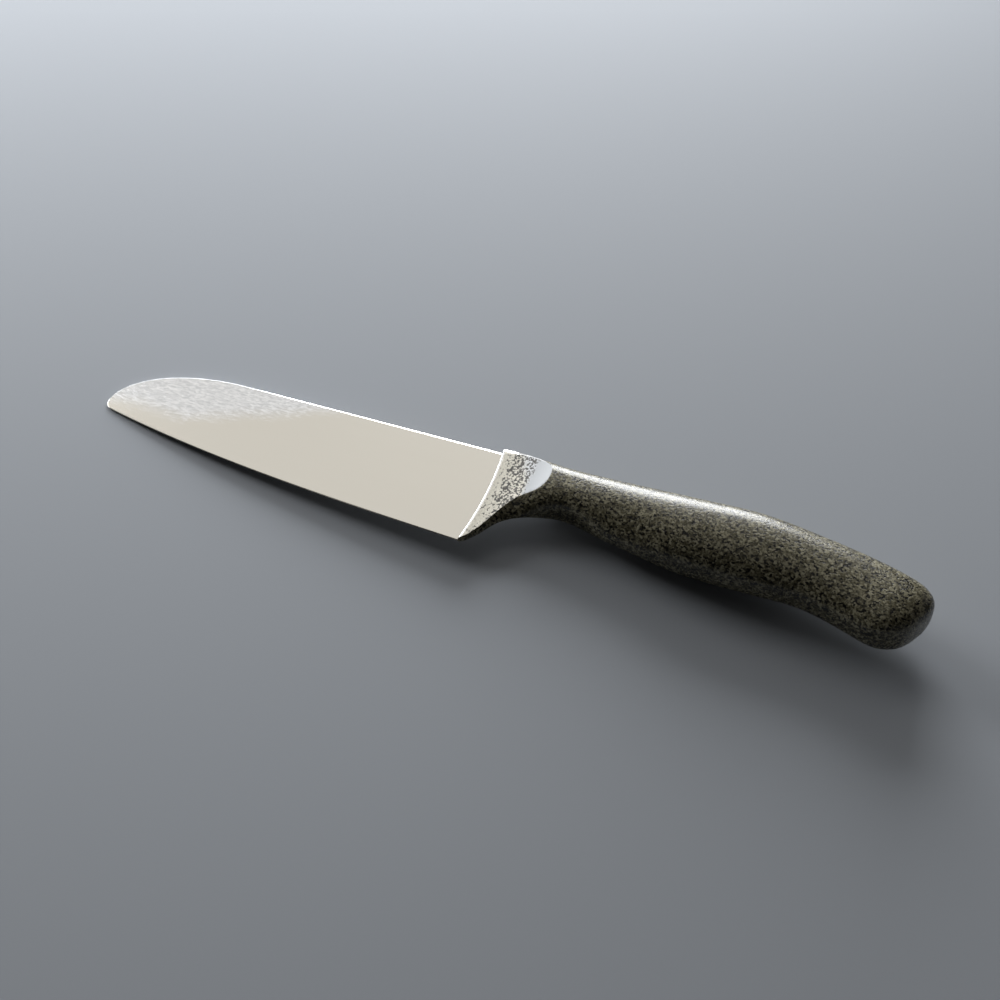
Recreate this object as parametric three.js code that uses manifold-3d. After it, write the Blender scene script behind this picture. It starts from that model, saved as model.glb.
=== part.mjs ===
// Santoku knife lying on its side: a ground steel blade with a hidden flat tang, a scooped bolster
// that runs down to the heel, and a drooping handle of two bonded halves pinned across the tang.
// Millimetres. In the knife's own frame +X runs to the butt, +Y to the spine and Z is the thickness,
// with X = 0 at the front of the bolster and Y = 0 on the spine.

import * as THREE from 'three';
import { mergeVertices } from 'three/addons/utils/BufferGeometryUtils.js';
import Module from 'manifold-3d';

const wasm = await Module();
wasm.setup();

// Blade
const BLADE_LENGTH = 140.4;
const HEEL_HEIGHT = 39.1;
const TIP_DROP = 21.2;        // spine line down to the tip
const DROP_RUN = 42.4;        // length of the curve that brings the spine down to the tip
const NOSE_DEPTH = 3.5;       // height of the small round between the tip and the edge
const NOSE_RUN = 4;           // length of that round
const EDGE_RUN = 138.6;       // length over which the edge rises from the heel to that depth
const EDGE_STEADY_RISE = 7;   // part of the edge's rise that is straight; the rest curls up at the tip
const SPINE_THICKNESS = 2;
const HEEL_THICKNESS = 0.7;   // behind the edge, at the heel
const TIP_THICKNESS = 0.5;    // behind the edge, at the tip
const EDGE_THICKNESS = 0.1;
const EDGE_BEVEL = 0.9;       // height of the sharpened bevel
const SPINE_CHAMFER = 0.25;

// Tang and its pins
const SEAT_DEPTH = 2;         // how far the blade stands in the bolster
const HEEL_SEAT_RISE = 2.2;   // how far the seated corner of the heel is taken up
const TANG_THICKNESS = 2;
const TANG_HEIGHT = 10;
const TANG_OVERLAP = 1;       // length of the tang's root inside the blade
const TANG_END = 8;           // tang left behind the last pin
const PIN_NAMES = ['front_tang_pin', 'middle_tang_pin', 'rear_tang_pin'];
const PIN_DIAMETER = 4;
const PIN_LENGTH = 11;
const PIN_SETBACK = 15;       // first pin behind the bolster
const PIN_SPACING = 26;
const DOWEL_DIAMETER = 4;
const DOWEL_LENGTH = 10;
const DOWEL_SETBACK = 16;     // dowel behind the end of the tang

// Bolster
const BOLSTER_LENGTH = 21.2;
const BOLSTER_PROUD = 1.3;    // above the spine
const BOLSTER_LIP = 0.8;      // above each side of the blade
const FRONT_BOW = 1.5;        // how far the front line bows towards the handle
const RAMP_LEAD = 4;          // how far ahead of the bolster its ramps would be level with the blade
const RAMP_END = 20.4;        // where the ramps come out on the widest line
const CHOIL_CURVE = [[0.16, 0.16], [0.35, 0.51], [0.6, 0.75]];   // shares of run and rise, heel to neck
const CHOIL_KEEL = 1.32;      // how square the section is below its widest line, halfway to the neck

// Handle: at each station, its distance behind the one before, the heights of its top and belly
// lines from the blade's spine, the thickness, how deep its widest line lies below the top, and how
// square the section is above that line and below it
const FRONT = { thickness: 12.4, ridge: 7.8, square: 2.2, keel: 2 };
const NECK = { run: 26, top: -0.9, belly: -18.1, thickness: 14.4, ridge: 7.4, square: 2.2, keel: 2.85 };
const FOREGRIP = { run: 19, top: -0.5, belly: -23, thickness: 16.6, ridge: 10.4, square: 2.2, keel: 1.8 };
const PALM = { run: 23, top: -0.1, belly: -26.3, thickness: 19.6, ridge: 11.4, square: 2.2, keel: 2.2 };
const REAR_PALM = { run: 22, top: 0.3, belly: -27, thickness: 19.4, ridge: 11.6, square: 2.3, keel: 2.2 };
const WAIST = { run: 18, top: -2.6, belly: -26.9, thickness: 18.2, ridge: 10.8, square: 2.4, keel: 2.3 };
const BUTT = { run: 16, top: -6.8, belly: -30.2, thickness: 17.4, ridge: 10, square: 2.6, keel: 2.5 };
const TAIL = { run: 14, top: -11.8, belly: -34.4, thickness: 17, ridge: 10.4, square: 2.8, keel: 2.8 };
const TAIL_OVERHANG = 4.6;    // butt behind the last station
const BUTT_ROUND = 13.9;      // length over which the butt rounds off
const BUTT_PLAN_ROUND = 2.8;  // how full the round is from the side
const BUTT_EDGE_ROUND = 4;    // how full it is across the thickness
const BUTT_SLANT = 0.56;      // lean of the butt's end, run per rise

// Bonded gap between neighbours, and the fineness of the round surfaces
const BOND = 0.3;
const AROUND = 44;
const DROP_STEPS = 18;
const NOSE_STEPS = 6;
const EDGE_STEPS = 20;
const CHOIL_STEPS = 16;
const GRIP_STEPS = 20;
const BUTT_STEPS = 9;
const ROUND_SIDES = 24;
const RAMP_SIDES = 128;
const SETTLE_STEPS = 8;
const SAME_POINT = 1e-5;

const steps = (count) => Array.from({ length: count + 1 }, (_, i) => i / count);
const quarter = (t) => t * Math.PI / 2;
const rounded = (share, fullness) => (1 - share ** fullness) ** (1 / fullness);
const power = (value, exponent) => Math.sign(value) * Math.abs(value) ** exponent;

// Closed skin over a list of rings with equal counts, capped at both ends
function skin(rings, flatten) {
  const count = rings[0].length;
  const corners = rings.flat();
  const faces = [];
  const capFaces = (ring) => THREE.ShapeUtils.triangulateShape(ring.map(flatten), []);
  for (const [a, b, c] of capFaces(rings[0])) {
    faces.push(a, b, c);
  }
  const last = (rings.length - 1) * count;
  for (const [a, b, c] of capFaces(rings.at(-1))) {
    faces.push(last + a, last + c, last + b);
  }
  for (let r = 0; r < rings.length - 1; r++) {
    for (let i = 0; i < count; i++) {
      const a = r * count + i;
      const b = r * count + (i + 1) % count;
      faces.push(a, a + count, b, b, a + count, b + count);
    }
  }
  const geometry = new THREE.BufferGeometry().setFromPoints(corners);
  geometry.setIndex(faces);
  return geometry;
}

// Solid of a closed geometry, turned right side out
function solid(geometry) {
  const bare = geometry.clone();
  bare.deleteAttribute('normal');
  bare.deleteAttribute('uv');
  const merged = mergeVertices(bare, SAME_POINT);
  const at = (i) => new THREE.Vector3().fromBufferAttribute(merged.attributes.position, i);
  const triVerts = Uint32Array.from(merged.index.array);
  let volume = 0;
  for (let i = 0; i < triVerts.length; i += 3) {
    volume += at(triVerts[i]).dot(at(triVerts[i + 1]).cross(at(triVerts[i + 2])));
  }
  if (volume < 0) {
    triVerts.reverse();
  }
  const vertProperties = Float32Array.from(merged.attributes.position.array);
  return new wasm.Manifold(new wasm.Mesh({ numProp: 3, vertProperties, triVerts }));
}

function geometryOf(body) {
  const mesh = body.getMesh();
  const geometry = new THREE.BufferGeometry();
  geometry.setAttribute('position', new THREE.BufferAttribute(Float32Array.from(mesh.vertProperties), 3));
  geometry.setIndex(new THREE.BufferAttribute(Uint32Array.from(mesh.triVerts), 1));
  return geometry;
}

function block(x0, x1, y0, y1, z0, z1) {
  const box = new THREE.BoxGeometry(x1 - x0, y1 - y0, z1 - z0);
  return box.translate((x0 + x1) / 2, (y0 + y1) / 2, (z0 + z1) / 2);
}

// Rod across the thickness of the knife
function rod(x, y, diameter, length) {
  const cylinder = new THREE.CylinderGeometry(diameter / 2, diameter / 2, length, ROUND_SIDES);
  return cylinder.rotateX(Math.PI / 2).translate(x, y, 0);
}

// Blade's flat-ground sides: half thickness falls evenly from the spine to the edge and to the tip
const EDGE_CURL = HEEL_HEIGHT - TIP_DROP - NOSE_DEPTH - EDGE_STEADY_RISE;
const EDGE_END = BLADE_LENGTH - NOSE_RUN;
const EDGE_END_SLOPE = (EDGE_STEADY_RISE + 3 * EDGE_CURL * (EDGE_END / EDGE_RUN) ** 2) / EDGE_RUN;
const GRIND = (SPINE_THICKNESS - HEEL_THICKNESS) / 2 / HEEL_HEIGHT;
const TIP_FALL = TIP_DROP + NOSE_DEPTH;
const DISTAL_TAPER = ((SPINE_THICKNESS - TIP_THICKNESS) / 2 - GRIND * TIP_FALL) / BLADE_LENGTH;
const sideHalf = (x, y) => SPINE_THICKNESS / 2 + GRIND * y + DISTAL_TAPER * Math.min(x, 0);

// Blade's outline from the seated end of the spine round the tip to the heel, with the spine side
// and the edge side each moved in by their own inset
function bladeOutline(spineInset, edgeInset, seat) {
  const dropStart = DROP_RUN - BLADE_LENGTH;
  const reach = DROP_RUN - spineInset;
  const fall = TIP_DROP - spineInset;
  const outline = [[seat, -spineInset, 'spine']];
  for (const t of steps(DROP_STEPS)) {
    const turn = quarter(t);
    outline.push([dropStart - reach * Math.sin(turn), -TIP_DROP + fall * Math.cos(turn), 'spine']);
  }
  const edgeAt = (run) => {
    const share = run / EDGE_RUN;
    return -HEEL_HEIGHT + edgeInset + EDGE_STEADY_RISE * share + EDGE_CURL * share ** 3;
  };
  const nose = new THREE.QuadraticBezierCurve(
    new THREE.Vector2(spineInset - BLADE_LENGTH, -TIP_DROP),
    new THREE.Vector2(spineInset - BLADE_LENGTH, edgeAt(EDGE_END) + EDGE_END_SLOPE * NOSE_RUN),
    new THREE.Vector2(-EDGE_END, edgeAt(EDGE_END)),
  );
  for (const t of steps(NOSE_STEPS).slice(1, -1)) {
    const { x, y } = nose.getPoint(t);
    outline.push([x, y, 'edge']);
  }
  for (const t of steps(EDGE_STEPS)) {
    const run = EDGE_END * (1 - t);
    outline.push([-run, edgeAt(run), 'edge']);
  }
  outline.push([seat, -HEEL_HEIGHT + HEEL_SEAT_RISE + edgeInset, 'seat']);
  return outline;
}

function groundBlade() {
  const rimHalf = {
    spine: (x, y) => sideHalf(x, y) - SPINE_CHAMFER,
    edge: () => EDGE_THICKNESS / 2,
    seat: (x, y) => sideHalf(x, y),
  };
  const side = bladeOutline(SPINE_CHAMFER, EDGE_BEVEL, SEAT_DEPTH);
  const rim = bladeOutline(0, 0, SEAT_DEPTH);
  const sideRing = (sign) => side.map(([x, y]) => new THREE.Vector3(x, y, sign * sideHalf(x, y)));
  const rimRing = (sign) => rim.map(([x, y, kind]) => new THREE.Vector3(x, y, sign * rimHalf[kind](x, y)));
  return skin([sideRing(1), rimRing(1), rimRing(-1), sideRing(-1)], ({ x, y }) => new THREE.Vector2(x, y));
}

// Room for the blade in the bolster
function bladeSlot() {
  const outline = bladeOutline(-BOND, -BOND, SEAT_DEPTH + BOND);
  const ring = (sign) => outline.map(([x, y]) => new THREE.Vector3(x, y, sign * (sideHalf(x, y) + BOND)));
  return skin([ring(1), ring(-1)], ({ x, y }) => new THREE.Vector2(x, y));
}

// Tang along the middle of the neck, with its pins
const TANG_MIDDLE = (NECK.top + NECK.belly) / 2;
const pinPlaces = PIN_NAMES.map((_, i) => BOLSTER_LENGTH + PIN_SETBACK + i * PIN_SPACING);
const TANG_REAR = pinPlaces.at(-1) + TANG_END;

function tang(room) {
  const half = TANG_HEIGHT / 2 + room;
  const thick = TANG_THICKNESS / 2 + room;
  const root = SEAT_DEPTH - TANG_OVERLAP - room;
  return block(root, TANG_REAR + room, TANG_MIDDLE - half, TANG_MIDDLE + half, -thick, thick);
}

// Grip: one smooth body from the bolster's front to the butt, before it is cut into pieces
const stations = [NECK, FOREGRIP, PALM, REAR_PALM, WAIST, BUTT, TAIL];
const stationPlaces = stations.map((_, i) => stations.slice(0, i + 1).reduce((sum, s) => sum + s.run, 0));
const GRIP_END = stationPlaces.at(-1) + TAIL_OVERHANG;
const ROUND_START = GRIP_END - BUTT_ROUND;
const DROOP_START = stationPlaces[stations.indexOf(REAR_PALM)];

function smooth(places, values, levelStart) {
  const curve = new THREE.CubicInterpolant(places, values, 1, new Float32Array(1));
  curve.settings = {
    endingStart: levelStart ? THREE.ZeroSlopeEnding : THREE.ZeroCurvatureEnding,
    endingEnd: THREE.ZeroCurvatureEnding,
  };
  return (x) => curve.evaluate(x)[0];
}

const fromFront = [0, ...stationPlaces, GRIP_END];
const carried = (values) => {
  const slope = (values.at(-1) - values.at(-2)) / TAIL.run;
  return [...values, values.at(-1) + slope * TAIL_OVERHANG];
};
const topLine = smooth(fromFront, carried([BOLSTER_PROUD, ...stations.map((s) => s.top)]), true);
const choilRise = HEEL_HEIGHT + NECK.belly;
const bellyLine = smooth(
  [0, ...CHOIL_CURVE.map(([run]) => run * NECK.run), ...fromFront.slice(1)],
  carried([0, ...CHOIL_CURVE.map(([, rise]) => rise)].map((rise) => rise * choilRise - HEEL_HEIGHT)
    .concat(stations.map((s) => s.belly))),
  true,
);
const halfThickness = smooth(fromFront, carried([FRONT, ...stations].map((s) => s.thickness / 2)), false);
const ridgeDepth = smooth(fromFront, carried([FRONT, ...stations].map((s) => s.ridge)), false);
const squareness = smooth(fromFront, carried([FRONT, ...stations].map((s) => s.square)), false);
const keelSquareness = smooth(
  [0, NECK.run / 2, ...fromFront.slice(1)],
  carried([FRONT.keel, CHOIL_KEEL, ...stations.map((s) => s.keel)]),
  false,
);

// Places of the grip's sections
const sectionPlaces = [
  ...steps(CHOIL_STEPS).map((t) => NECK.run * t),
  ...steps(GRIP_STEPS).slice(1).map((t) => NECK.run + (ROUND_START - NECK.run) * t),
  ...steps(BUTT_STEPS).slice(1, -1).map((t) => ROUND_START + BUTT_ROUND * Math.sin(quarter(t))),
];

function section(x) {
  const share = Math.max(0, (x - ROUND_START) / BUTT_ROUND);
  const top = topLine(x);
  const belly = bellyLine(x);
  const middle = (top + belly) / 2;
  const ridge = top - ridgeDepth(x);
  const shrink = rounded(share, BUTT_PLAN_ROUND);
  const half = halfThickness(x) * rounded(share, BUTT_EDGE_ROUND);
  const lean = BUTT_SLANT * THREE.MathUtils.smoothstep(x, DROOP_START, GRIP_END);
  const bow = FRONT_BOW * Math.max(0, 1 - x / BOLSTER_LENGTH);
  return steps(AROUND).slice(0, -1).map((t) => {
    const turn = 2 * Math.PI * t;
    const above = Math.cos(turn) > 0;
    const bend = 2 / (above ? squareness(x) : keelSquareness(x));
    const reach = above ? top - ridge : ridge - belly;
    const rise = ridge + reach * power(Math.cos(turn), bend) - middle;
    const bowShare = 1 - (2 * rise / (top - belly)) ** 2;
    const place = x + lean * shrink * rise + bow * bowShare;
    return new THREE.Vector3(place, middle + shrink * rise, half * power(Math.sin(turn), bend));
  });
}

const grip = solid(skin(sectionPlaces.map(section), ({ y, z }) => new THREE.Vector2(y, z)));

const WIDE = 4 * HEEL_HEIGHT;   // larger than the grip both ways across

// Bolster: the grip's front, with a hollow ramp on each side that rises from the blade to the handle
function ramp(sign) {
  const foot = SPINE_THICKNESS / 2 + BOLSTER_LIP;
  const ridge = topLine(RAMP_END) - ridgeDepth(RAMP_END);
  const rise = halfThickness(RAMP_END) - foot - GRIND * ridge;
  const run = RAMP_END + RAMP_LEAD;
  const axis = (run ** 2 - RAMP_LEAD ** 2 + rise ** 2) / (2 * rise);
  const radius = Math.hypot(axis, RAMP_LEAD);
  const lean = Math.atan(GRIND);
  const roller = new THREE.CylinderGeometry(radius, radius, WIDE, RAMP_SIDES);
  roller.rotateX(sign * lean);
  return roller.translate(-RAMP_LEAD, -axis * Math.sin(lean), sign * (foot + axis * Math.cos(lean)));
}

const bolster = grip
  .intersect(solid(block(-WIDE, BOLSTER_LENGTH, -WIDE, WIDE, -WIDE, WIDE)))
  .subtract(solid(ramp(1)))
  .subtract(solid(ramp(-1)))
  .subtract(solid(bladeSlot()))
  .subtract(solid(tang(BOND)));

// Pins and dowel, and the holes that take them
const dowelPlace = TANG_REAR + DOWEL_SETBACK;
const dowelHeight = (topLine(dowelPlace) + bellyLine(dowelPlace)) / 2;
const pin = (place, room) => rod(place, TANG_MIDDLE, PIN_DIAMETER + 2 * room, PIN_LENGTH + 2 * room);
const dowel = (room) => rod(dowelPlace, dowelHeight, DOWEL_DIAMETER + 2 * room, DOWEL_LENGTH + 2 * room);
const pinHoles = pinPlaces.map((place) => solid(pin(place, BOND)));

const ground = solid(groundBlade()).add(solid(tang(0)));
const blade = pinHoles.reduce((body, hole) => body.subtract(hole), ground);

// Handle halves: the grip behind the bolster, parted on the middle plane
const handleRoom = [...pinHoles, solid(dowel(BOND)), solid(tang(BOND))];
function handleHalf(sign) {
  const [low, high] = [BOND / 2, WIDE].map((z) => sign * z).sort((a, b) => a - b);
  const side = solid(block(BOLSTER_LENGTH + BOND, GRIP_END + WIDE, -WIDE, WIDE, low, high));
  return handleRoom.reduce((body, room) => body.subtract(room), grip.intersect(side));
}

const satinSteel = { color: 0xcfcabe, roughness: 0.38, metalness: 1 };
const speckledSteel = { color: 0xbeb9aa, roughness: 0.42, metalness: 0.4 };
const granite = { color: 0x4b483e, roughness: 0.35, metalness: 0 };
const pinSteel = { color: 0x9a9a98, roughness: 0.3, metalness: 1 };

function piece(name, geometry, finish) {
  const mesh = new THREE.Mesh(geometry, new THREE.MeshStandardMaterial(finish));
  mesh.name = name;
  return mesh;
}

const pieces = [
  piece('blade', geometryOf(blade), satinSteel),
  piece('bolster', geometryOf(bolster), speckledSteel),
  piece('handle_upper_half', geometryOf(handleHalf(1)), granite),
  piece('handle_lower_half', geometryOf(handleHalf(-1)), granite),
  ...PIN_NAMES.map((name, i) => piece(name, pin(pinPlaces[i], 0), pinSteel)),
  piece('butt_dowel', dowel(0), pinSteel),
];

// The knife lies on the lower side of its tip and on the swell of its handle: the line under both
// is found by turns from the lowest points ahead of and behind the bolster's front
const points = pieces.flatMap(({ geometry: { attributes: { position } } }) => (
  Array.from({ length: position.count }, (_, i) => new THREE.Vector3().fromBufferAttribute(position, i))
));
const bladePoints = points.filter((p) => p.x < 0);
const gripPoints = points.filter((p) => p.x > 0);
const lowest = (list, slope) => list.reduce((low, p) => (p.z - low.z < slope * (p.x - low.x) ? p : low));
let restSlope = 0;
for (let i = 0; i < SETTLE_STEPS; i++) {
  const front = lowest(bladePoints, restSlope);
  const rear = lowest(gripPoints, restSlope);
  restSlope = (rear.z - front.z) / (rear.x - front.x);
}

const knife = new THREE.Group();
knife.add(...pieces);
knife.rotation.y = Math.atan(restSlope);

// Origin under the middle of the knife, on the surface that it lies on
const model = new THREE.Group();
model.add(knife);
const box = new THREE.Box3().setFromObject(model, true);
const middle = box.getCenter(new THREE.Vector3());
knife.position.set(-middle.x, -middle.y, -box.min.z);

export default model;
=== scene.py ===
import bpy
import math
from mathutils import Matrix, Vector


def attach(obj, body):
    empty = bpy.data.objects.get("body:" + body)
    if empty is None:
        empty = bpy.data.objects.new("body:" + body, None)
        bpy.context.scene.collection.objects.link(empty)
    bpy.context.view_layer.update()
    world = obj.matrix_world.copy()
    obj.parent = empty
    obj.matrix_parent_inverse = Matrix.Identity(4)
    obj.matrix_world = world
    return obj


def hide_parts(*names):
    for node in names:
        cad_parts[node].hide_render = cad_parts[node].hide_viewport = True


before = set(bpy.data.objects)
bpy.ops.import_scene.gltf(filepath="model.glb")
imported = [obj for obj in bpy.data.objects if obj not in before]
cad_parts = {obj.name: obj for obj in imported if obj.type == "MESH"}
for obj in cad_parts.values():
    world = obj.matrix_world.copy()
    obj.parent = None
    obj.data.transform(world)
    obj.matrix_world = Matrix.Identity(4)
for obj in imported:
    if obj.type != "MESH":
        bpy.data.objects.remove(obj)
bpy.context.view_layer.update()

MM = 0.001

# Blade
BLADE_LENGTH = 140.4 * MM
HEEL_HEIGHT = 39.1 * MM
TIP_DROP = 21.2 * MM
DROP_RUN = 42.4 * MM
NOSE_DEPTH = 3.5 * MM
NOSE_RUN = 4 * MM
EDGE_RUN = 138.6 * MM
EDGE_STEADY_RISE = 7 * MM
SPINE_THICKNESS = 2 * MM
HEEL_THICKNESS = 0.7 * MM
TIP_THICKNESS = 0.5 * MM
EDGE_THICKNESS = 0.1 * MM
EDGE_BEVEL = 0.2 * MM
SPINE_RELIEF = 0.06 * MM
NOSE_RELIEF = 0.085 * MM
RELIEF_TILT = math.radians(20)
NOSE_TILT = math.radians(24)
NOSE_TILT_POWER = 6
STOCK_MARGIN = 1 * MM
STOCK_HALF = 2 * MM
SPINE_STEPS = 40
EDGE_STEPS = 44
NOSE_STEPS = 16

# Tang, pins and dowel
SEAT_DEPTH = 2 * MM
TANG_ROOT = 1 * MM
HEEL_SEAT_RISE = 2.2 * MM
TANG_THICKNESS = 2 * MM
TANG_HEIGHT = 10 * MM
TANG_END = 8 * MM
PIN_NODES = ("front_tang_pin", "middle_tang_pin", "rear_tang_pin")
PIN_DIAMETER = 4 * MM
PIN_LENGTH = 11 * MM
PIN_SETBACK = 15 * MM
PIN_SPACING = 26 * MM
DOWEL_LENGTH = 10 * MM
DOWEL_SETBACK = 16 * MM
PIN_ROOM = 0.1 * MM
ROD_SIDES = 48

# Bolster
BOLSTER_LENGTH = 21.2 * MM
BOLSTER_PROUD = 1.3 * MM
BOLSTER_LIP = 0.8 * MM
LIP_ROUND = 0.6 * MM
TOP_FACET = 0.48 * MM
TOP_FACET_DROP = 0.17 * MM
TOP_ROUND = 0.25 * MM
FRONT_BOW = 1.5 * MM
FRONT_MIDDLE = (BOLSTER_PROUD - HEEL_HEIGHT) / 2
FRONT_HALF = (BOLSTER_PROUD + HEEL_HEIGHT) / 2
RAMP_LEAD = 4 * MM
RAMP_END = 20.4 * MM
CHOIL_CURVE = ((0.16, 0.16), (0.35, 0.51), (0.6, 0.75))
CHOIL_KEEL = 1.32
SEAM = 21.35 * MM

# Ramp cutter and front trim
CUTTER_FOOT = -46 * MM
CUTTER_RISE = 8 * MM
CUTTER_CLEAR = 30 * MM
CUTTER_LEAD = 4 * MM
CUTTER_REACH = 24 * MM
CUTTER_SETBACK = 0.02 * MM
CORNER_DROP = 3 * TOP_FACET
BOW_FADE_RUN = 25 * MM
TOP_ROUND_STEPS = 4
FRONT_CUTS = 28
LIP_STEPS = 8
RAMP_STEPS = 34
TRIM_SIDES = 720
TRIM_DEPTH = 40 * MM

# Grip stations: place, top line, belly line, thickness, depth of the widest line below the top, and
# how square the section is above that line and below it
FRONT = (0, 1.3, -39.1, 12.4, 7.8, 2.2, 2)
STATIONS = (
    (26, -0.9, -18.1, 14.4, 7.4, 2.2, 2.85),
    (45, -0.5, -23, 16.6, 10.4, 2.2, 1.8),
    (68, -0.1, -26.3, 19.6, 11.4, 2.2, 2.2),
    (90, 0.3, -27, 19.4, 11.6, 2.3, 2.2),
    (108, -2.6, -26.9, 18.2, 10.8, 2.4, 2.3),
    (124, -6.8, -30.2, 17.4, 10, 2.6, 2.5),
    (138, -11.8, -34.4, 17, 10.4, 2.8, 2.8),
)
GRIP_END = 142.6
DROOP_START = 90
BUTT_ROUND = 13.9
BUTT_PLAN_ROUND = 2.8
BUTT_EDGE_ROUND = 4
BUTT_SLANT = 0.56
GRIP_LEAD = 2
NECK_RINGS = 26
BODY_RINGS = 46
BUTT_RINGS = 16
CORNER_STEPS = 20
CORNER_SIDE = 0.5
SIDE_TOLERANCE = 1e-4
WELD_DISTANCE = 0.001

# Where the knife lies: turned about the width, then lifted on to the surface
REST_TURN = math.radians(-2.60483)
REST_PLACE = (-2.3267 * MM, 18.9 * MM, 6.71075 * MM)

# Closeness of two places that count as the same
PLACE_TOLERANCE = 1e-7
PLACE_DIGITS = 7


def steps(count):
    return [i / count for i in range(count + 1)]


def rounded(share, fullness):
    return max(0, 1 - share ** fullness) ** (1 / fullness)


def smooth(places, values, level_start):
    """Curve through the values, level or straight at its start and straight at its end."""
    runs = [b - a for a, b in zip(places, places[1:])]
    slopes = [(b - a) / run for a, b, run in zip(values, values[1:], runs)]
    inner = [(a + b) / 2 for a, b in zip(slopes, slopes[1:])]
    tangents = [0 if level_start else slopes[0], *inner, slopes[-1]]

    def at(x):
        i = max(0, min(len(runs) - 1, sum(p <= x for p in places) - 1))
        t = (x - places[i]) / runs[i]
        a = values[i] * (2 * t ** 3 - 3 * t ** 2 + 1) + values[i + 1] * (3 * t ** 2 - 2 * t ** 3)
        b = tangents[i] * (t ** 3 - 2 * t ** 2 + t) + tangents[i + 1] * (t ** 3 - t ** 2)
        return a + b * runs[i]

    return at


def carried(column, rows):
    """One column of the stations, carried on straight to the end of the grip."""
    values = [row[column] for row in rows]
    slope = (values[-1] - values[-2]) / (rows[-1][0] - rows[-2][0])
    return values + [values[-1] + slope * (GRIP_END - rows[-1][0])]


rows = (FRONT, *STATIONS)
places = carried(0, rows)
top_line = smooth(places, carried(1, rows), True)
choil = [(run * STATIONS[0][0], FRONT[2] + rise * (STATIONS[0][2] - FRONT[2])) for run, rise in CHOIL_CURVE]
belly_rows = [(0, FRONT[2]), *choil, *((row[0], row[2]) for row in STATIONS)]
belly_line = smooth(carried(0, belly_rows), carried(1, belly_rows), True)
half_thickness = smooth(places, [v / 2 for v in carried(3, rows)], False)
ridge_depth = smooth(places, carried(4, rows), False)
squareness = smooth(places, carried(5, rows), False)
keels = carried(6, rows)
keel_squareness = smooth([0, STATIONS[0][0] / 2, *places[1:]], [keels[0], CHOIL_KEEL, *keels[1:]], False)

GRIND = (SPINE_THICKNESS - HEEL_THICKNESS) / 2 / HEEL_HEIGHT
TAPER = ((SPINE_THICKNESS - TIP_THICKNESS) / 2 - GRIND * (TIP_DROP + NOSE_DEPTH)) / BLADE_LENGTH
TANG_MIDDLE = (STATIONS[0][1] + STATIONS[0][2]) / 2 * MM
PIN_PLACES = [BOLSTER_LENGTH + PIN_SETBACK + i * PIN_SPACING for i in range(len(PIN_NODES))]
TANG_REAR = PIN_PLACES[-1] + TANG_END
DOWEL_PLACE = TANG_REAR + DOWEL_SETBACK


# Workshop: starting, cutting and finishing a piece
def edit(piece):
    bpy.ops.object.select_all(action="DESELECT")
    bpy.context.view_layer.objects.active = piece
    piece.select_set(True)
    bpy.ops.object.mode_set(mode="EDIT")


def leave():
    bpy.ops.object.mode_set(mode="OBJECT")


def block(name, low, high):
    """Rectangular stock between two corners."""
    middle = [(a + b) / 2 for a, b in zip(low, high)]
    bpy.ops.object.select_all(action="DESELECT")
    bpy.ops.mesh.primitive_cube_add(size=1, location=middle)
    stock = bpy.context.object
    stock.name = stock.data.name = name
    stock.scale = [b - a for a, b in zip(low, high)]
    bpy.ops.object.transform_apply(location=True, rotation=True, scale=True)
    return stock


def rod(name, x, y, diameter, length):
    """Round stock across the thickness of the knife."""
    bpy.ops.object.select_all(action="DESELECT")
    bpy.ops.mesh.primitive_cylinder_add(vertices=ROD_SIDES, radius=diameter / 2, depth=length,
                                        location=(x, y, 0))
    stock = bpy.context.object
    stock.name = stock.data.name = name
    bpy.ops.object.transform_apply(location=True, rotation=True, scale=True)
    return stock


def grind(point, away):
    """Take off everything beyond a flat face."""
    bpy.ops.mesh.select_all(action="SELECT")
    bpy.ops.mesh.bisect(plane_co=point, plane_no=away, use_fill=True, clear_outer=True,
                        threshold=PLACE_TOLERANCE)


def combine(piece, tool, operation, keep_tool=False):
    """Cut a tool out of a piece, or add it, with the tool's own finish on the faces that it makes."""
    bpy.ops.object.select_all(action="DESELECT")
    bpy.context.view_layer.objects.active = piece
    piece.select_set(True)
    change = piece.modifiers.new("combine", "BOOLEAN")
    change.object = tool
    change.operation = operation
    change.solver = "EXACT"
    change.material_mode = "TRANSFER" if tool.name.startswith("ramp") else "INDEX"
    bpy.ops.object.modifier_apply(modifier=change.name)
    if not keep_tool:
        bpy.data.objects.remove(tool)


def copy_of(piece, name):
    twin = piece.copy()
    twin.data = piece.data.copy()
    twin.name = twin.data.name = name
    bpy.context.scene.collection.objects.link(twin)
    return twin


# Blade: bar stock ground flat by flat to its outline, its sides, its spine relief and its edge
def side_half(x, y):
    return SPINE_THICKNESS / 2 + GRIND * y + TAPER * min(x, 0)


def spine_stations():
    drop_start = DROP_RUN - BLADE_LENGTH
    for t in steps(SPINE_STEPS):
        turn = t * math.pi / 2
        point = Vector((drop_start - DROP_RUN * math.sin(turn), -TIP_DROP + TIP_DROP * math.cos(turn)))
        away = Vector((-math.sin(turn) / DROP_RUN, math.cos(turn) / TIP_DROP)).normalized()
        yield point, away


def edge_at(t):
    """Point of the edge line and its rise per run, from the heel to the start of the nose."""
    share = t * (BLADE_LENGTH - NOSE_RUN) / EDGE_RUN
    curl = HEEL_HEIGHT - TIP_DROP - NOSE_DEPTH - EDGE_STEADY_RISE
    point = Vector((-EDGE_RUN * share, -HEEL_HEIGHT + EDGE_STEADY_RISE * share + curl * share ** 3))
    return point, (EDGE_STEADY_RISE + 3 * curl * share ** 2) / EDGE_RUN


def edge_stations():
    for t in steps(EDGE_STEPS):
        point, rise = edge_at(t)
        yield point, Vector((-rise, -1)).normalized()


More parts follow.
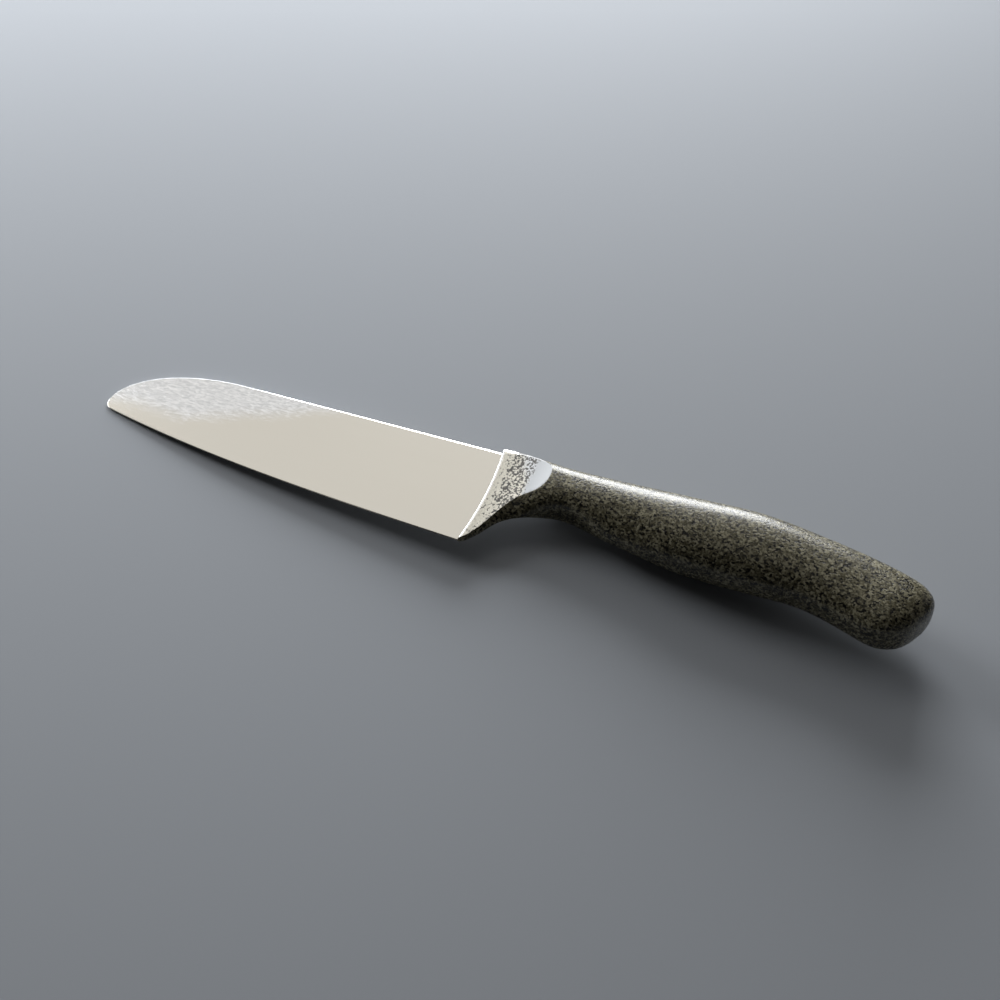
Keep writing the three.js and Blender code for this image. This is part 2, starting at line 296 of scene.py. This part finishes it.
def nose_stations():
    """Round nose from the end of the spine line down to the end of the edge line."""
    start, rise = edge_at(1)
    tip = Vector((-BLADE_LENGTH, -TIP_DROP))
    bend = Vector((-BLADE_LENGTH, start.y + rise * NOSE_RUN))
    for t in steps(NOSE_STEPS)[1:-1]:
        point = (1 - t) ** 2 * tip + 2 * t * (1 - t) * bend + t ** 2 * start
        along = (1 - t) * (bend - tip) + t * (start - bend)
        yield point, Vector((along.y, -along.x)).normalized()


def make_blade():
    low = (-BLADE_LENGTH - STOCK_MARGIN, -HEEL_HEIGHT - STOCK_MARGIN, -STOCK_HALF)
    blade = block("santoku_blade", low, (SEAT_DEPTH, STOCK_MARGIN, STOCK_HALF))
    edit(blade)
    for side in (1, -1):
        grind((0, 0, side * SPINE_THICKNESS / 2), (-TAPER, -GRIND, side))
    for point, away in (*spine_stations(), *edge_stations(), *nose_stations()):
        grind((*point, 0), (*away, 0))
    grind((0, -HEEL_HEIGHT, 0), (HEEL_SEAT_RISE, -SEAT_DEPTH, 0))
    for side in (1, -1):
        for point, away in (*spine_stations(), *nose_stations()):
            inner = point - away * (SPINE_RELIEF + (NOSE_RELIEF - SPINE_RELIEF) * away.x ** 2)
            tilt = RELIEF_TILT + (NOSE_TILT - RELIEF_TILT) * away.x ** NOSE_TILT_POWER
            face = (*(away * math.sin(tilt)), side * math.cos(tilt))
            grind((*inner, side * side_half(*inner)), face)
        for point, away in edge_stations():
            inner = point - away * EDGE_BEVEL
            rise = side_half(*inner) - EDGE_THICKNESS / 2
            face = Vector((*(away * rise), side * EDGE_BEVEL)).normalized()
            grind((*point, side * EDGE_THICKNESS / 2), face)
    leave()
    low = (SEAT_DEPTH - TANG_ROOT, TANG_MIDDLE - TANG_HEIGHT / 2, -TANG_THICKNESS / 2)
    high = (TANG_REAR, TANG_MIDDLE + TANG_HEIGHT / 2, TANG_THICKNESS / 2)
    combine(blade, block("tang", low, high), "UNION")
    for place in PIN_PLACES:
        hole = rod("pin_hole", place, TANG_MIDDLE, PIN_DIAMETER + PIN_ROOM, PIN_LENGTH)
        combine(blade, hole, "DIFFERENCE")
    return blade


# Grip: rings of rounded corners, each as full above and below its widest line as its station says, bridged
def only(test):
    """Select the points of the piece in hand that pass a test on their place."""
    piece = bpy.context.edit_object
    bpy.ops.mesh.select_mode(type="VERT")
    bpy.ops.mesh.select_all(action="DESELECT")
    leave()
    for vertex in piece.data.vertices:
        vertex.select = test(vertex.co)
    bpy.ops.object.mode_set(mode="EDIT")
    bpy.ops.mesh.select_mode(type="VERT")


def corner_profile(square):
    """Bevel profile whose round has the given squareness, 2 for a circle."""
    return 0.5 ** (2 / square)


def grip_ring(x):
    """Outline of the grip at one place along it, given in millimetres."""
    share = max(0, (x - (GRIP_END - BUTT_ROUND)) / BUTT_ROUND)
    along = max(0, x)
    top, belly = top_line(along), belly_line(along)
    ridge, middle = top - ridge_depth(along), (top + belly) / 2
    shrink = rounded(share, BUTT_PLAN_ROUND)
    thick = half_thickness(along) * rounded(share, BUTT_EDGE_ROUND)
    droop = max(0, min(1, (x - DROOP_START) / (GRIP_END - DROOP_START)))
    slant = BUTT_SLANT * droop ** 2 * (3 - 2 * droop)
    bpy.ops.object.select_all(action="DESELECT")
    bpy.ops.mesh.primitive_plane_add(size=2, rotation=(0, math.pi / 2, -math.pi / 4))
    ring = bpy.context.object
    bpy.ops.object.transform_apply(location=True, rotation=True, scale=True)
    edit(ring)
    halves = ((1, top - ridge, squareness(along)), (-1, ridge - belly, keel_squareness(along)))
    for side, _, square in halves:
        only(lambda co: side * co.y > CORNER_SIDE)
        bpy.ops.mesh.bevel(offset=1, affect="VERTICES", segments=CORNER_STEPS,
                           profile=corner_profile(square), clamp_overlap=True)
    bpy.ops.mesh.select_all(action="SELECT")
    bpy.ops.mesh.remove_doubles(threshold=WELD_DISTANCE)
    for side, reach, _ in halves:
        only(lambda co: side * co.y > SIDE_TOLERANCE)
        tall = math.sqrt(2) * shrink * reach * MM
        bpy.ops.transform.resize(value=(tall * slant, tall, 1), center_override=(0, 0, 0))
    lift = shrink * (ridge - middle)
    bpy.ops.mesh.select_all(action="SELECT")
    bpy.ops.transform.resize(value=(1, 1, thick * MM), center_override=(0, 0, 0))
    bpy.ops.transform.translate(value=((x + slant * lift) * MM, (middle + lift) * MM, 0))
    leave()
    return ring


def make_grip():
    neck = STATIONS[0][0]
    round_start = GRIP_END - BUTT_ROUND
    stations = [-GRIP_LEAD]
    stations += [neck * t for t in steps(NECK_RINGS)]
    stations += [neck + (round_start - neck) * t for t in steps(BODY_RINGS)[1:]]
    stations += [round_start + BUTT_ROUND * (1 - (1 - t) ** 3) for t in steps(BUTT_RINGS)[1:-1]]
    rings = [grip_ring(x) for x in stations]
    bpy.ops.object.select_all(action="DESELECT")
    for ring in rings:
        ring.select_set(True)
    grip = bpy.context.view_layer.objects.active = rings[0]
    bpy.ops.object.join()
    grip.name = grip.data.name = "grip"
    edit(grip)
    bpy.ops.mesh.select_all(action="SELECT")
    bpy.ops.mesh.delete(type="ONLY_FACE")
    bpy.ops.mesh.select_all(action="SELECT")
    bpy.ops.mesh.bridge_edge_loops(type="SINGLE")
    bpy.ops.mesh.select_all(action="DESELECT")
    bpy.ops.mesh.select_non_manifold()
    bpy.ops.mesh.edge_face_add()
    leave()
    return grip


# Ramp cutter: an outline with a rounded inner corner, drawn along the knife over the lip and up the hollow
def ramp_height(x):
    foot = SPINE_THICKNESS / 2 + BOLSTER_LIP
    end = RAMP_END / MM
    rise = half_thickness(end) * MM - foot - GRIND * (top_line(end) - ridge_depth(end)) * MM
    run = RAMP_END + RAMP_LEAD
    axis = (run ** 2 - RAMP_LEAD ** 2 + rise ** 2) / (2 * rise)
    radius = math.hypot(axis, RAMP_LEAD)
    lip = BOLSTER_LIP * (1 - rounded(1 - x / LIP_ROUND, 2)) if x < LIP_ROUND else 0
    return foot + axis - math.sqrt(radius ** 2 - (x + RAMP_LEAD) ** 2) - lip


def close(a, b):
    return abs(a - b) < PLACE_TOLERANCE


def make_ramp_cutter(finish):
    top, start = BOLSTER_PROUD, ramp_height(0)
    bpy.ops.object.select_all(action="DESELECT")
    bpy.ops.mesh.primitive_plane_add(size=1, rotation=(0, math.pi / 2, 0))
    cutter = bpy.context.object
    cutter.name = cutter.data.name = "ramp_cutter"
    bpy.ops.object.transform_apply(location=True, rotation=True, scale=True)
    edit(cutter)
    bpy.ops.transform.resize(value=(1, top - CUTTER_FOOT, CUTTER_CLEAR), center_override=(0, 0, 0))
    middle = (-CUTTER_LEAD, (top + CUTTER_FOOT) / 2, start + CUTTER_CLEAR / 2)
    bpy.ops.transform.translate(value=middle)
    only(lambda co: close(co.y, top))
    bpy.ops.mesh.extrude_region_move(TRANSFORM_OT_translate={"value": (0, CUTTER_RISE, 0)})
    only(lambda co: close(co.z, start) and co.y > top - MM)
    bpy.ops.mesh.extrude_region_move(TRANSFORM_OT_translate={"value": (0, 0, -CORNER_DROP)})
    bpy.ops.mesh.select_mode(type="FACE")
    bpy.ops.mesh.select_all(action="SELECT")
    bpy.ops.mesh.dissolve_faces()
    only(lambda co: close(co.y, top) and close(co.z, start))
    bpy.ops.mesh.bevel(offset=TOP_FACET, affect="VERTICES", segments=1)
    only(lambda co: close(co.y, top) and close(co.z, start - TOP_FACET))
    bpy.ops.transform.translate(value=(0, 0, TOP_FACET - TOP_FACET_DROP))
    bpy.ops.mesh.bevel(offset=TOP_ROUND, affect="VERTICES", segments=TOP_ROUND_STEPS, profile=0.5)
    only(lambda co: close(co.z, start) and co.y < top)
    bpy.ops.mesh.subdivide(number_cuts=FRONT_CUTS)
    leave()
    front = [v.co for v in cutter.data.vertices if v.co.y < top and v.co.z < start + MM]
    line = sorted({round(co.y, PLACE_DIGITS) for co in front})
    bpy.ops.object.mode_set(mode="EDIT")
    for y in line:
        bow = FRONT_BOW * max(0, 1 - ((y - FRONT_MIDDLE) / FRONT_HALF) ** 2)
        only(lambda co: abs(co.y - y) < 2 * PLACE_TOLERANCE and co.z < start + MM)
        bpy.ops.transform.translate(value=(bow, 0, GRIND * y))
    bpy.ops.mesh.select_all(action="SELECT")
    stations = [LIP_ROUND * (1 - math.cos(t * math.pi / 2)) for t in steps(LIP_STEPS)]
    stations += [LIP_ROUND + (CUTTER_REACH - LIP_ROUND) * t for t in steps(RAMP_STEPS)[1:]]
    x, y, z = -CUTTER_LEAD, top, start
    for place in stations:
        height = ramp_height(place)
        rise = top_line(place / MM) * MM
        bpy.ops.mesh.extrude_region_move(
            TRANSFORM_OT_translate={"value": (place - x, rise - y, height - z)})
        if place > 0:
            fade = (BOW_FADE_RUN - place) / (BOW_FADE_RUN - max(0, x))
            bpy.ops.transform.resize(value=(fade, 1, 1), center_override=(place, 0, 0))
        x, y, z = place, rise, height
    bpy.ops.mesh.select_all(action="SELECT")
    bpy.ops.transform.translate(value=(-CUTTER_SETBACK, 0, 0))
    bpy.ops.mesh.normals_make_consistent(inside=False)
    leave()
    cutter.data.materials.append(finish)
    return cutter


def make_front_trim():
    """Large drum that leaves the bolster's front line bowed."""
    radius = (FRONT_HALF ** 2 + FRONT_BOW ** 2) / (2 * FRONT_BOW)
    bpy.ops.object.select_all(action="DESELECT")
    bpy.ops.mesh.primitive_cylinder_add(vertices=TRIM_SIDES, radius=radius, depth=TRIM_DEPTH,
                                        location=(FRONT_BOW - radius, FRONT_MIDDLE, 0))
    trim = bpy.context.object
    bpy.ops.object.transform_apply(location=True, rotation=True, scale=True)
    return trim


def mirrored(cutter):
    twin = copy_of(cutter, cutter.name + "_below")
    edit(twin)
    bpy.ops.mesh.select_all(action="SELECT")
    bpy.ops.transform.resize(value=(1, 1, -1), center_override=(0, 0, 0))
    bpy.ops.mesh.normals_make_consistent(inside=False)
    leave()
    return twin


def make_bolster(grip, blade, ramp_finish):
    bolster = copy_of(grip, "scooped_bolster")
    edit(bolster)
    grind((SEAM, 0, 0), (1, 0, 0))
    leave()
    combine(bolster, make_front_trim(), "DIFFERENCE")
    cutter = make_ramp_cutter(ramp_finish)
    combine(bolster, mirrored(cutter), "DIFFERENCE")
    combine(bolster, cutter, "DIFFERENCE")
    combine(bolster, blade, "DIFFERENCE", keep_tool=True)
    return bolster


def make_handle_half(grip, blade, side, name):
    half = copy_of(grip, name)
    edit(half)
    grind((SEAM, 0, 0), (-1, 0, 0))
    grind((0, 0, 0), (0, 0, -side))
    leave()
    combine(half, blade, "DIFFERENCE", keep_tool=True)
    for place in PIN_PLACES:
        room = rod("pin_room", place, TANG_MIDDLE, PIN_DIAMETER + PIN_ROOM, PIN_LENGTH + PIN_ROOM)
        combine(half, room, "DIFFERENCE")
    dowel_height = (top_line(DOWEL_PLACE / MM) + belly_line(DOWEL_PLACE / MM)) / 2 * MM
    room = rod("dowel_room", DOWEL_PLACE, dowel_height, PIN_DIAMETER + PIN_ROOM, DOWEL_LENGTH + PIN_ROOM)
    combine(half, room, "DIFFERENCE")
    return half


# Shading: shader sockets that add and multiply as plain numbers do
class Value:
    def __init__(self, tree, socket):
        self.tree = tree
        self.socket = socket

    def node(self, kind, settings, inputs, output=0):
        made = self.tree.nodes.new(kind)
        for name, setting in settings.items():
            if name == "stops":
                ramp = made.color_ramp
                while len(ramp.elements) < len(setting):
                    ramp.elements.new(0.5)
                for stop, (place, colour) in zip(ramp.elements, setting):
                    stop.position, stop.color = place, (*colour, 1)
            else:
                setattr(made, name, setting)
        for name, given in inputs.items():
            if isinstance(given, Value):
                self.tree.links.new(given.socket, made.inputs[name])
            else:
                made.inputs[name].default_value = given
        return Value(self.tree, made.outputs[output])

    def math(self, operation, a, b=0.0):
        return self.node("ShaderNodeMath", {"operation": operation}, {0: a, 1: b})

    def __add__(self, other):
        return self.math("ADD", self, other)

    __radd__ = __add__

    def __mul__(self, other):
        return self.math("MULTIPLY", self, other)

    __rmul__ = __mul__

    def __sub__(self, other):
        return self.math("SUBTRACT", self, other)

    def __rsub__(self, other):
        return self.math("SUBTRACT", other, self)

    def between(self, low, high):
        """0 below the low value and 1 above the high one, with soft ends."""
        return self.node("ShaderNodeMapRange", {"interpolation_type": "SMOOTHSTEP"},
                         {"Value": self, "From Min": low, "From Max": high})

    def tint(self, low, high):
        """Colour that goes from low to high with this value."""
        kind = {"data_type": "RGBA", "clamp_factor": True}
        low = low if isinstance(low, Value) else (*low, 1)
        high = high if isinstance(high, Value) else (*high, 1)
        return self.node("ShaderNodeMix", kind, {0: self, 6: low, 7: high}, 2)


def new_finish(name):
    """Finish, its shader, and the place on the knife in metres from the bolster's front and the spine."""
    finish = bpy.data.materials.new(name)
    finish.use_nodes = True
    tree = finish.node_tree
    coordinates = Value(tree, tree.nodes.new("ShaderNodeTexCoord").outputs["Object"])
    lying = {"Vector": coordinates, "Location": REST_PLACE, "Rotation": (0, REST_TURN, 0)}
    place = coordinates.node("ShaderNodeMapping", {"vector_type": "TEXTURE"}, lying)
    return finish, tree.nodes["Principled BSDF"], place


def axes(place):
    """Distances along the knife and up from its spine, in millimetres."""
    return [place.node("ShaderNodeSeparateXYZ", {}, {"Vector": place}, i) * (1 / MM) for i in range(2)]


def wire(surface, name, value):
    value.tree.links.new(value.socket, surface.inputs[name])


def stretched(place, scale, turn=(0, 0, 0)):
    return place.node("ShaderNodeMapping", {}, {"Vector": place, "Scale": scale, "Rotation": turn})


def noise(place, scale, detail=2.0, roughness=0.5, waver=0.0):
    inputs = {"Vector": place, "Scale": scale, "Detail": detail, "Roughness": roughness, "Distortion": waver}
    return place.node("ShaderNodeTexNoise", {}, inputs)


def grains(place, scale, output):
    """Random cells: Distance from each cell's seed, or a Color of its own."""
    inputs = {"Vector": place, "Scale": scale, "Randomness": 1.0}
    return place.node("ShaderNodeTexVoronoi", {"feature": "F1"}, inputs, output)


def bumped(surface, height, strength, distance):
    bump = height.node("ShaderNodeBump", {}, {"Height": height, "Strength": strength, "Distance": distance})
    wire(surface, "Normal", bump)


# Finishes: colours, noise scales per metre along, up and across the knife, and zones in millimetres
SATIN_TONES = ((0.765, 0.733, 0.664), (0.825, 0.791, 0.717))
# Tones of the zone behind the tip: grinding strokes, made paler and cooler as painted reflection of the
# window
STROKE_AND_REFLECTION_TONES = ((0.745, 0.755, 0.77), (0.985, 0.99, 1.0))
SATIN_HAIR = (30, 1100, 1100)
TIP_STROKES = (380, 1300, 1300)
STROKE_TURN = (0, 0, 0.05)
TIP_ZONE_START = 110
TIP_ZONE_DEPTH = 20.5
TIP_ZONE_SLOPE = 0.41
PIN_TONES = ((0.54, 0.54, 0.53), (0.66, 0.66, 0.65))
PIN_TURNING = (300, 300, 2400)
GRANITE_STOPS = [
    (0.1, (0.05, 0.0445, 0.025)),
    (0.5, (0.132, 0.118, 0.071)),
    (0.9, (0.34, 0.313, 0.215)),
]
GRANITE_BLACK = (0.004, 0.0034, 0.0022)
GRANITE_FLECKS = (920, 1320, 1320)
GRANITE_FLECK_TURN = (0, 0, 0.5)
COAT_CREAM = ((0.50, 0.465, 0.38), (0.70, 0.66, 0.56))
# Cool coat tones towards the ramp's rear: painted reflection of the window
COAT_COOL_REFLECTION = ((0.48, 0.485, 0.49), (0.62, 0.63, 0.64))
# Crest grey: painted reflection of the window on the smooth crest
CREST_REFLECTION_GREY = (0.40, 0.412, 0.424)
SPECK_DARK = (0.03, 0.025, 0.016)
# Pale band along the ramp's top edge: painted highlight
RIM_HIGHLIGHT_PALE = (0.76, 0.77, 0.78)
# Near-white on the lip and the top edge: painted highlight
EDGE_HIGHLIGHT = (0.86, 0.86, 0.85)
SPECK_SCALE = (1350, 1000, 1080)
SPECK_TURN = (0, 0, 0.6)


def satin_blade_steel(name):
    """Flat-ground satin steel, with a zone of short grinding strokes behind the tip whose paler, cooler
    colour is painted reflection of the window.
    """
    finish, surface, place = new_finish(name)
    along, up = axes(place)
    hair = noise(stretched(place, SATIN_HAIR), 1, 2, 0.6)
    strokes = noise(stretched(place, TIP_STROKES, STROKE_TURN), 1, 2, 0.65, 0.7)
    cloud = noise(place, 30, 2)
    drop = along.math("MAXIMUM", along + TIP_ZONE_START, 0) * TIP_ZONE_SLOPE
    # Zone behind the tip: real grinding strokes in bump and roughness, and painted reflection in its paler,
    # cooler colour
    tip_zone = (up + TIP_ZONE_DEPTH - drop + (cloud - 0.5) * 8 + (strokes - 0.5) * 8).between(-4, 5)
    tone = (hair - 0.5) * 0.05 + (cloud - 0.5) * 0.03 + 0.5
    plain = tone.tint(*SATIN_TONES)
    ground = strokes.between(0.3, 0.7).tint(*STROKE_AND_REFLECTION_TONES)
    wire(surface, "Base Color", tip_zone.tint(plain, ground))
    surface.inputs["Metallic"].default_value = 1
    wire(surface, "Roughness", (hair - 0.5) * 0.04 + tip_zone * (strokes - 0.5) * 0.08 + 0.17)
    bumped(surface, hair * 0.03 + tip_zone * strokes, 0.2, 0.03 * MM)
    return finish


def pin_steel(name):
    finish, surface, place = new_finish(name)
    turned = noise(stretched(place, PIN_TURNING), 1, 2, 0.6)
    wire(surface, "Base Color", turned.tint(*PIN_TONES))
    surface.inputs["Metallic"].default_value = 1
    wire(surface, "Roughness", turned * 0.1 + 0.26)
    bumped(surface, turned, 0.15, 0.02 * MM)
    return finish


def noise_colour(place, scale):
    return place.node("ShaderNodeTexNoise", {}, {"Vector": place, "Scale": scale, "Detail": 1.0}, "Color")


def shaken(place, scale, reach):
    """The place, moved about a little so that cell walls are ragged."""
    return place.node("ShaderNodeVectorMath", {"operation": "MULTIPLY_ADD"},
                      {0: noise_colour(place, scale), 1: (reach, reach, reach), 2: place})


def granite_composite(name):
    """Olive grains about a millimetre across with small black flecks between them, under a thin polish."""
    finish, surface, place = new_finish(name)
    pick = grains(shaken(place, 1500, 0.5 * MM), 1200, "Color")
    pick = pick.node("ShaderNodeSeparateColor", {}, {"Color": pick}, 0)
    dust = noise(place, 1500, 2, 0.6)
    fleck = noise(stretched(place, GRANITE_FLECKS, GRANITE_FLECK_TURN), 1, 1, 0.5)
    grain = pick * 0.7 + (dust - 0.5) * 1.3 + 0.15
    black = 1 - (fleck + (dust - 0.5) * 0.3).between(0.385, 0.46)
    olive = grain.node("ShaderNodeValToRGB", {"stops": GRANITE_STOPS}, {"Fac": grain})
    wire(surface, "Base Color", black.tint(olive, GRANITE_BLACK))
    wire(surface, "Roughness", (dust - 0.5) * 0.3 + 0.28)
    bumped(surface, grain * 0.6 - black * 0.4, 0.45, 0.09 * MM)
    return finish


def speckled_steel(name):
    """Cream coat with dark specks from behind the lip to the smooth crest; painted highlight along the lip
    and the top edge, where the finish is also more metallic and smoother, and painted reflection in cool
    tints on the ramp's rear and crest.
    """
    finish, surface, place = new_finish(name)
    along, up = axes(place)
    share = (up - FRONT_MIDDLE / MM) * (MM / FRONT_HALF)
    back = along - (1 - share * share) * (FRONT_BOW / MM)
    fleck = noise(stretched(place, SPECK_SCALE, SPECK_TURN), 1, 3, 0.65)
    pebble = grains(shaken(place, 1700, 0.4 * MM), 1150, "Distance")
    dust = noise(place, 1800, 2, 0.6)
    cloud = noise(place, 150, 2)
    ragged = (cloud - 0.5) * 5
    # Smooth crest where the specks stop and the coat turns cool grey: painted reflection of the window
    crest = (along + ragged * 0.5 + (fleck - 0.5) * 5).between(13.2, 15)
    amount = (back + ragged).between(0.8, 6.8) * (1 - crest)
    amount = amount * (1 - (0 - up).between(22, 33) * 0.55)
    speck = (amount * 0.2 + 0.3 - fleck + (pebble - 0.5) * 0.45).between(-0.04, 0.04) * (1 - crest)
    # Rear of the ramp turned cool: painted reflection of the window
    cool_reflection = (along + ragged + (up + 6) * 0.4).between(9, 13)
    coat = (dust * 0.6 + fleck * 0.4).between(0.3, 0.7)
    coat = cool_reflection.tint(coat.tint(*COAT_CREAM), coat.tint(*COAT_COOL_REFLECTION))
    coat = crest.tint(coat, CREST_REFLECTION_GREY)
    # Band along the top edge, widening towards the rear, painted pale: painted highlight
    rim = (up + along * along * 0.0115 - 1.05).between(-0.75, -0.35)
    # Lip and top edge: more metallic and smoother, and painted near-white as painted highlight
    edge = up.math("MAXIMUM", (up + along * 0.08).between(0.3, 0.6), 1 - back.between(0.7, 1.1))
    coat = rim.tint(speck.tint(coat, SPECK_DARK), RIM_HIGHLIGHT_PALE)
    wire(surface, "Base Color", edge.tint(coat, EDGE_HIGHLIGHT))
    wire(surface, "Metallic", edge * 0.85 + 0.1)
    wire(surface, "Roughness", (dust - 0.5) * 0.1 + crest * 0.06 - edge * 0.14 + 0.38)
    bumped(surface, (dust * 0.5 + fleck - speck * 0.4) * (1 - crest) * (1 - edge), 0.45, 0.1 * MM)
    return finish


# Pieces
ramp_finish = speckled_steel("speckled_steel_ramp")
handle_finish = granite_composite("granite_composite_body")
blade_finish = satin_blade_steel("satin_blade_steel")
pin_finish = pin_steel("pin_steel_rod")

blade = make_blade()
blade.data.materials.append(blade_finish)
grip = make_grip()
grip.data.materials.append(handle_finish)
bolster = make_bolster(grip, blade, ramp_finish)
upper = make_handle_half(grip, blade, 1, "handle_upper_shell")
lower = make_handle_half(grip, blade, -1, "handle_lower_shell")
bpy.data.objects.remove(grip)

rest = Matrix.Translation(REST_PLACE) @ Matrix.Rotation(REST_TURN, 4, "Y")
for piece, node, slot, crease in (
    (blade, "blade", "satin_steel", 8),
    (bolster, "bolster", "speckled_steel", 24),
    (upper, "handle_upper_half", "granite_composite", 40),
    (lower, "handle_lower_half", "granite_composite", 40),
):
    bpy.ops.object.select_all(action="DESELECT")
    bpy.context.view_layer.objects.active = piece
    piece.select_set(True)
    bpy.ops.object.shade_smooth_by_angle(angle=math.radians(crease))
    piece.matrix_world = rest
    bpy.ops.object.transform_apply(location=True, rotation=True, scale=True)
    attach(piece, "root")
    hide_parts(node)

for node in (*PIN_NODES, "butt_dowel"):
    rod_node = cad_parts[node]
    rod_node.data.materials.clear()
    rod_node.data.materials.append(pin_finish)

# Camera
TARGET = Vector((3.963, 0.89, 6.0)) * MM
AZIMUTH = math.radians(21.49)
ELEVATION = math.radians(50)
DISTANCE = 452.2 * MM
LENS_MM = 50
SENSOR_MM = 36
NEAREST = 0.01
level = Vector((math.sin(AZIMUTH), -math.cos(AZIMUTH), 0))
back = level * math.cos(ELEVATION) + Vector((0, 0, math.sin(ELEVATION)))
bpy.ops.object.camera_add(location=TARGET + back * DISTANCE)
camera = bpy.context.object
camera.rotation_euler = (-back).to_track_quat("-Z", "Y").to_euler()
camera.data.lens = LENS_MM
camera.data.sensor_width = SENSOR_MM
camera.data.clip_start = NEAREST
bpy.context.scene.camera = camera

# Floor
FLOOR_SIZE = 6
FLOOR_COLOUR = (0.38, 0.40, 0.43, 1)
FLOOR_ROUGHNESS = 0.8
FLOOR_SHINE = 0.2
bpy.ops.mesh.primitive_plane_add(size=FLOOR_SIZE, location=(0, 0, 0))
floor = bpy.context.object
floor.name = floor.data.name = "floor"
floor_finish, floor_surface, _ = new_finish("pale_floor")
floor_surface.inputs["Base Color"].default_value = FLOOR_COLOUR
floor_surface.inputs["Roughness"].default_value = FLOOR_ROUGHNESS
floor_surface.inputs["Specular IOR Level"].default_value = FLOOR_SHINE
floor.data.materials.append(floor_finish)

# Light: each lamp with its direction from the knife, distance, width, height, radiance and colour
DAYLIGHT = (0.96, 0.98, 1.0)
SIDE_DAYLIGHT = (0.97, 0.985, 1.0)
WALL_WHITE = (1.0, 0.985, 0.955)
CARD_WHITE = (1.0, 0.99, 0.97)
ROOM_COLOUR = (0.97, 0.98, 1.0, 1)
ROOM_STRENGTH = 0.012
LAMPS = (
    ("back_window", (-0.233, 0.935, 0.267), 0.9, 0.55, 0.48, 13, DAYLIGHT),
    ("left_window", (-0.742, 0.656, 0.139), 0.9, 0.655, 0.237, 9, DAYLIGHT),
    ("side_window", (-0.882, 0.287, 0.375), 1.0, 0.44, 0.44, 7, SIDE_DAYLIGHT),
    ("wall", (-0.378, 0.583, 0.719), 0.95, 1.33, 0.51, 0.72, WALL_WHITE),
    ("back_right_card", (0.64, 0.64, 0.42), 1.3, 0.85, 0.55, 0.32, CARD_WHITE),
    ("overhead_card", (-0.09, 0.05, 0.995), 1.2, 0.75, 0.5, 0.2, CARD_WHITE),
    ("right_card", (0.965, 0.0, 0.262), 1.3, 0.5, 0.28, 0.15, CARD_WHITE),
    ("front_left_card", (-0.69, -0.66, 0.30), 1.3, 0.75, 0.28, 0.16, CARD_WHITE),
    ("front_right_card", (0.66, -0.69, 0.30), 1.3, 0.75, 0.26, 0.2, CARD_WHITE),
)


def softbox(name, direction, distance, width, height, radiance, colour):
    """Soft lamp that faces the knife, with the brightness that it shows in a mirror."""
    direction = Vector(direction).normalized()
    bpy.ops.object.light_add(type="AREA", location=direction * distance)
    lamp = bpy.context.object
    lamp.name = lamp.data.name = name
    lamp.rotation_euler = direction.to_track_quat("Z", "Y").to_euler()
    lamp.data.shape = "RECTANGLE"
    lamp.data.size, lamp.data.size_y = width, height
    lamp.data.energy = radiance * math.pi * width * height
    lamp.data.color = colour


for lamp_settings in LAMPS:
    softbox(*lamp_settings)

world = bpy.data.worlds.new("studio")
bpy.context.scene.world = world
world.use_nodes = True
room = world.node_tree.nodes["Background"]
room.inputs["Color"].default_value = ROOM_COLOUR
room.inputs["Strength"].default_value = ROOM_STRENGTH
bpy.context.scene.view_settings.view_transform = "Standard"
